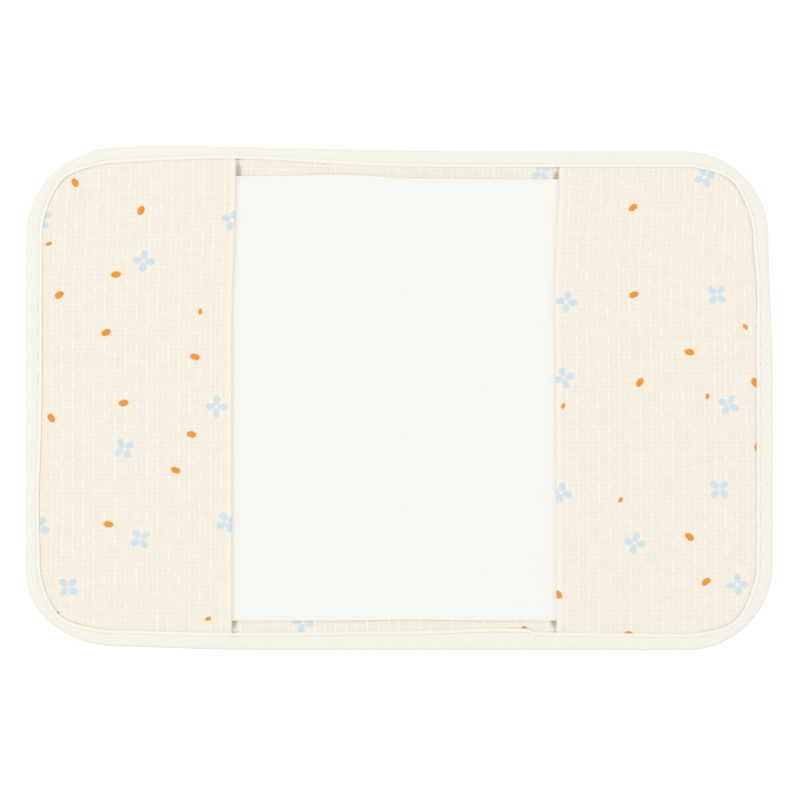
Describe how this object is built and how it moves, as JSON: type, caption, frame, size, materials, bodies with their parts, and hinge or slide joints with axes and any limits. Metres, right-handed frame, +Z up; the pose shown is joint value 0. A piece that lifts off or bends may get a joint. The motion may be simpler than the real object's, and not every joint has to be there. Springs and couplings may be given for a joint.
{
  "type": "padded booklet cover",
  "caption": "Lightly padded waffle-cotton booklet cover, bound with bias tape, laid open with a plain folded sheet in its two side pockets; it folds shut at the middle.",
  "frame": {"origin": "under the middle of the fold, on the surface that the open cover rests on", "axes": "+X across the open cover from the left half to the right half, +Y along the fold towards the head, +Z up"},
  "size_m": [0.353, 0.238, 0.008],
  "materials": {
    "outer_cloth": "matt waffle weave cotton with a small sparse print",
    "wadding_fibre": "matt fibre sheet",
    "lining_cloth": "matt waffle weave cotton",
    "pocket_cloth": "matt waffle weave cotton with a small sparse print",
    "binding_tape": "matt plain weave cotton tape",
    "seam_thread": "soft sewing thread",
    "insert_paper": "smooth matt paper"
  },
  "bodies": {
    "left_half": {"outer_panel_left": "outer_cloth", "wadding_left": "wadding_fibre", "lining_left": "lining_cloth", "pocket_left": "pocket_cloth", "binding_left": "binding_tape", "binding_needle_thread_left": "seam_thread", "binding_bobbin_thread_left": "seam_thread", "insert_leaf_left": "insert_paper"},
    "right_half": {"outer_panel_right": "outer_cloth", "wadding_right": "wadding_fibre", "lining_right": "lining_cloth", "pocket_right": "pocket_cloth", "binding_right": "binding_tape", "binding_needle_thread_right": "seam_thread", "binding_bobbin_thread_right": "seam_thread", "insert_leaf_right": "insert_paper"}
  },
  "joints": [
    {"name": "spine_fold", "type": "hinge", "parent": "left_half", "child": "right_half", "pos_m": [0, 0, 0.00815], "axis": [0, -1, 0], "range_deg": [0, 179]}
  ]
}
